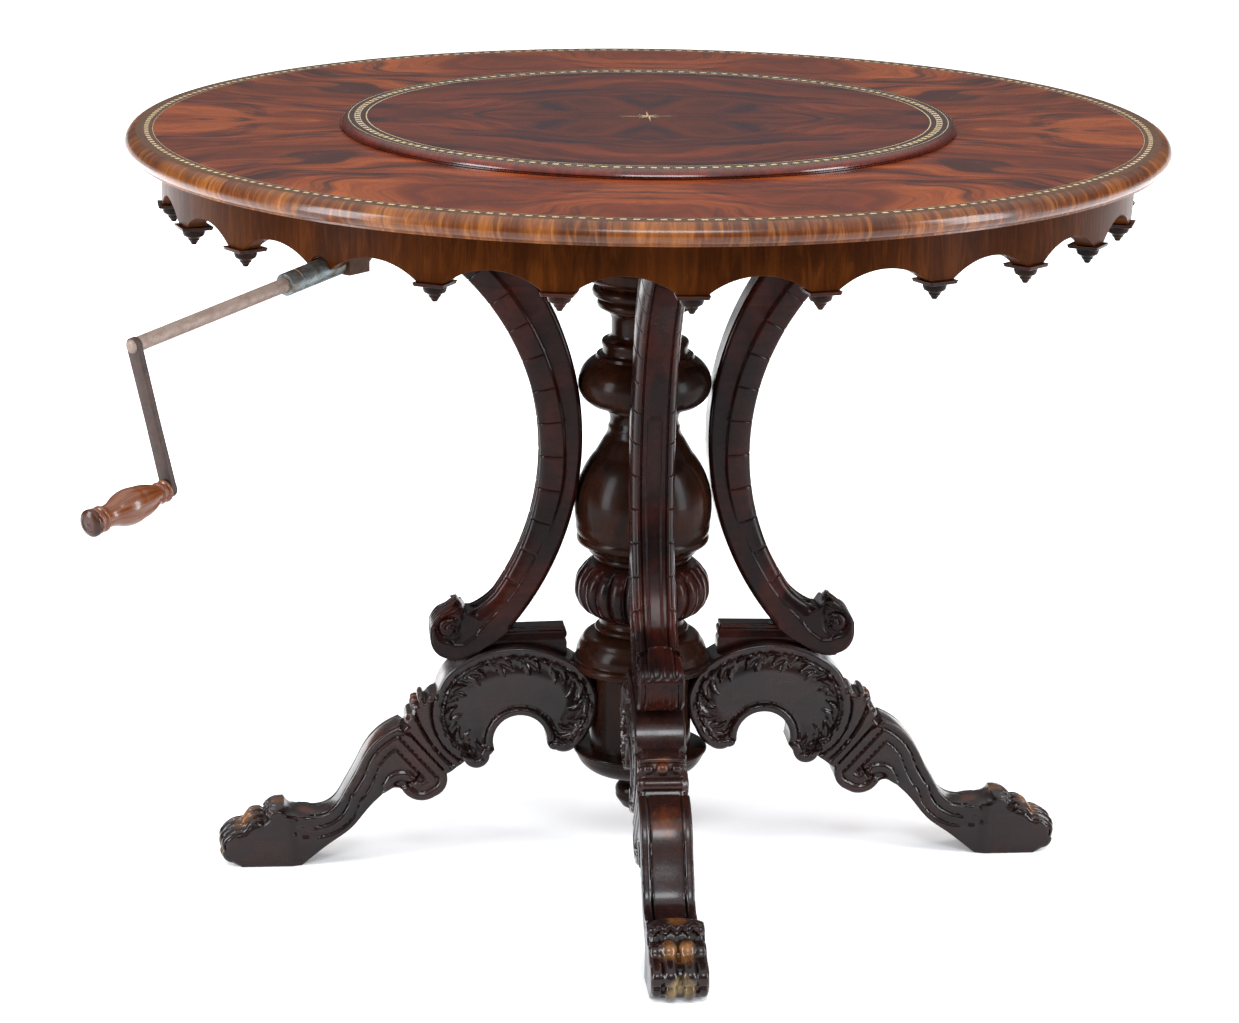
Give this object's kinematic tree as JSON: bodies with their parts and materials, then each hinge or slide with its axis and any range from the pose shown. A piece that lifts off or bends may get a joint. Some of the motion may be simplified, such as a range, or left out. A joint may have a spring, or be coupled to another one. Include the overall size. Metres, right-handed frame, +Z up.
{
  "type": "crank-driven centre table",
  "caption": "Round pedestal centre table with scroll legs and supports, an arcaded apron, and a hand crank that turns its raised centre disc and a hidden pinned-cylinder movement.",
  "frame": {"origin": "on the floor, under the axis of the column and of the revolving disc", "axes": "+Z up along the column; -Y is the front, and the crank leaves at 38.2 degrees to the front's left"},
  "size_m": [1.0559, 1.1914, 0.789],
  "materials": {
    "flame_veneer": "high gloss french polish over radial wedges of flame mahogany",
    "disc_veneer": "high gloss french polish over radial wedges of flame mahogany",
    "nosing_mahogany": "high gloss french polish, cross grain",
    "apron_mahogany": "gloss polish, upright grain in joined lengths",
    "carved_mahogany": "worn semi-gloss dark polish",
    "turned_mahogany": "semi-gloss dark polish",
    "banding": "polished chequer of pale and dark woods between thin lines",
    "pale_inlay": "polished pale holly inlay",
    "beech": "planed, unpolished",
    "grip_mahogany": "polished by handling",
    "grip_button": "ebonised, polished",
    "cast_iron": "as cast, lightly painted",
    "wrought_iron": "forged, browned",
    "mottled_iron": "worn, blue-grey with brown streaks",
    "rod_steel": "drawn and lacquered, pale warm tint",
    "steel": "machined",
    "brass": "machined"
  },
  "bodies": {
    "table": {"apron": "apron_mahogany", "bearer_cross": "beech", "bearer_long": "beech", "bearer_screws": "steel", "bedplate": "cast_iron", "bedplate_posts": "brass", "bracket_back": "carved_mahogany", "bracket_front": "carved_mahogany", "bracket_left": "carved_mahogany", "bracket_right": "carved_mahogany", "column_barrel": "turned_mahogany", "column_cap": "turned_mahogany", "column_collar": "turned_mahogany", "column_gadroon": "turned_mahogany", "column_knop": "turned_mahogany", "column_vase": "turned_mahogany", "comb": "steel", "comb_rail": "brass", "comb_screws": "steel", "crank_sleeve": "mottled_iron", "cylinder_bearings": "brass", "drop_finials": "turned_mahogany", "drop_plates": "carved_mahogany", "leg_back": "carved_mahogany", "leg_front": "carved_mahogany", "leg_left": "carved_mahogany", "leg_right": "carved_mahogany", "pendant_finial": "turned_mahogany", "shaft_bracket": "cast_iron", "sleeve_block": "beech", "spindle": "steel", "support_back": "carved_mahogany", "support_front": "carved_mahogany", "support_left": "carved_mahogany", "support_right": "carved_mahogany", "thrust_washer": "brass", "tie_rod": "steel", "top_banding": "banding", "top_nosing": "nosing_mahogany", "top_panel": "flame_veneer"},
    "disc": {"centre_disc": "disc_veneer", "disc_banding": "banding", "disc_moulding": "nosing_mahogany", "disc_star": "pale_inlay", "crown_gear": "cast_iron"},
    "drive": {"drive_shaft": "steel", "shaft_collars": "steel", "bevel_pinion": "steel", "spur_pinion": "brass"},
    "crank": {"crank_rod": "rod_steel", "crank_arm": "wrought_iron", "grip_pin": "steel"},
    "grip": {"grip": "grip_mahogany", "grip_button": "grip_button"},
    "cylinder": {"music_cylinder": "brass", "cylinder_pins": "steel", "cylinder_wheel": "brass"}
  },
  "joints": [
    {"name": "disc_spin", "type": "hinge", "parent": "table", "child": "disc", "pos_m": [0, 0, 0.7805], "axis": [0, 0, 1], "continuous": true},
    {"name": "crank_turn", "type": "hinge", "parent": "table", "child": "drive", "pos_m": [-0.18407, -0.23391, 0.7285], "axis": [-0.6136, -0.7797, -0.125], "continuous": true},
    {"name": "cylinder_spin", "type": "hinge", "parent": "table", "child": "cylinder", "pos_m": [-0.1993, -0.19667, 0.731], "axis": [-0.6136, -0.7797, -0.125], "continuous": true},
    {"name": "crank_pull", "type": "slide", "parent": "drive", "child": "crank", "axis": [-0.6136, -0.7797, -0.125], "range_m": [0, 0.14]},
    {"name": "grip_spin", "type": "hinge", "parent": "crank", "child": "grip", "pos_m": [-0.42646, -0.58059, 0.5427], "axis": [-0.6136, -0.7797, -0.125], "continuous": true}
  ],
  "couplings": [
    {"joint": "crank_turn", "follows": "disc_spin", "ratio": -8},
    {"joint": "cylinder_spin", "follows": "disc_spin", "ratio": 2.6667}
  ]
}
